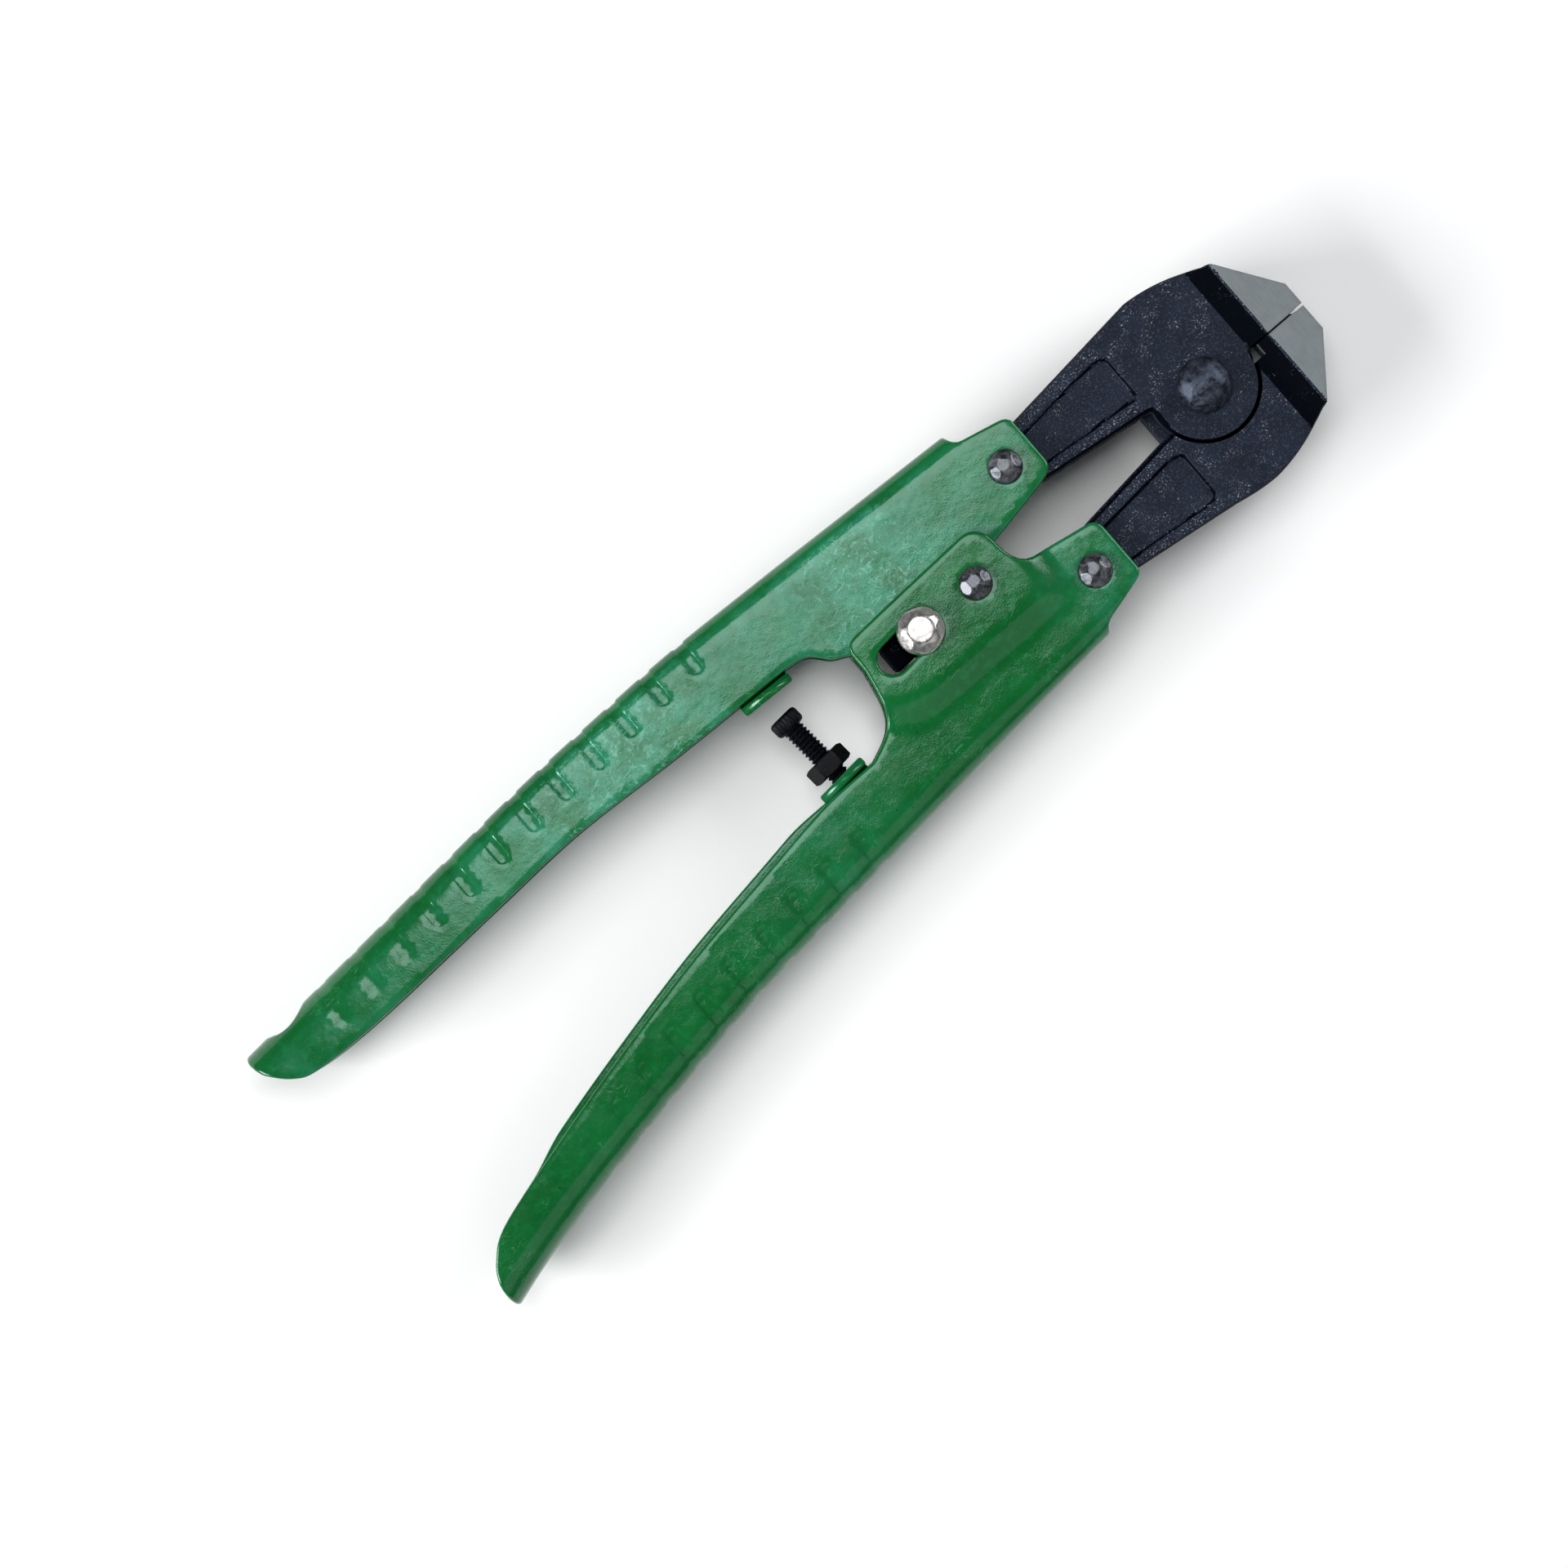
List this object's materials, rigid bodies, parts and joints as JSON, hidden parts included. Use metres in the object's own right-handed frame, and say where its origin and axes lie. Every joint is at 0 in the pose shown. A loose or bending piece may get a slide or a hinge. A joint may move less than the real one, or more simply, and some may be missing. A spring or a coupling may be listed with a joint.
{
  "type": "bolt cutters",
  "caption": "Small hand bolt cutters: two pressed-steel channel handles drive two forged jaws through riveted ears, with a sliding lock stud and a stop screw.",
  "frame": {"origin": "on the jaw pivot's axis, in the plane of the pivot bolt's flat rear end, which the tool lies on", "axes": "+X towards the jaw tips, +Y towards the upper handle, +Z away from the surface it lies on, along every pivot"},
  "size_m": [0.2203, 0.0674, 0.0216],
  "materials": {
    "green_enamel": "glossy green enamel with scuffs",
    "black_oxide": "forged grain under black oxide, blades ground bare",
    "rivet_steel": "dark hammered rivet steel",
    "nickel_plate": "bright nickel plate",
    "spring_steel": "oiled spring wire"
  },
  "bodies": {
    "lower_handle_body": {"lower_handle": "green_enamel", "lower_jaw_rivet": "rivet_steel", "handle_pivot_rivet": "rivet_steel", "handle_pivot_bush": "rivet_steel", "return_spring": "spring_steel"},
    "upper_handle_body": {"upper_handle": "green_enamel", "upper_jaw_rivet": "rivet_steel"},
    "lower_jaw_body": {"lower_jaw": "black_oxide", "jaw_pivot_bolt": "black_oxide", "jaw_pivot_washer": "black_oxide", "jaw_pivot_nut": "black_oxide"},
    "upper_jaw_body": {"upper_jaw": "black_oxide"},
    "lock_stud_body": {"lock_stud": "nickel_plate", "lock_stud_sleeve": "black_oxide", "lock_stud_button": "nickel_plate"},
    "stop_screw_body": {"stop_screw": "black_oxide"},
    "stop_lock_nut_body": {"stop_lock_nut": "black_oxide"}
  },
  "joints": [
    {"name": "handle_pivot", "type": "hinge", "parent": "lower_handle_body", "child": "upper_handle_body", "pos_m": [-0.0515, 0, 0.0103], "axis": [0, 0, -1], "range_deg": [-1.2, 26], "deforming": ["return_spring"]},
    {"name": "lower_jaw_pivot", "type": "hinge", "parent": "lower_handle_body", "child": "lower_jaw_body", "pos_m": [-0.0347, -0.0116, 0.0103], "axis": [0, 0, 1], "range_deg": [-19.9, 1]},
    {"name": "upper_jaw_pivot", "type": "hinge", "parent": "lower_jaw_body", "child": "upper_jaw_body", "pos_m": [0, 0, 0.0103], "axis": [0, 0, 1], "range_deg": [-0.7, 13.6]},
    {"name": "lock_stud_slide", "type": "slide", "parent": "lower_handle_body", "child": "lock_stud_body", "axis": [0.9963, 0.0863, 0], "range_m": [-0.0064, 0.0007]},
    {"name": "stop_screw_adjust", "type": "slide", "parent": "lower_handle_body", "child": "stop_screw_body", "axis": [-0.0698, 0.9976, 0], "range_m": [-0.003, 0.0022]},
    {"name": "stop_lock_nut_run", "type": "slide", "parent": "lower_handle_body", "child": "stop_lock_nut_body", "axis": [-0.0698, 0.9976, 0], "range_m": [-0.0011, 0.0025]}
  ],
  "couplings": [
    {"joint": "lower_jaw_pivot", "follows": "handle_pivot", "ratio": -0.7526},
    {"joint": "upper_jaw_pivot", "follows": "handle_pivot", "ratio": 0.5051}
  ]
}
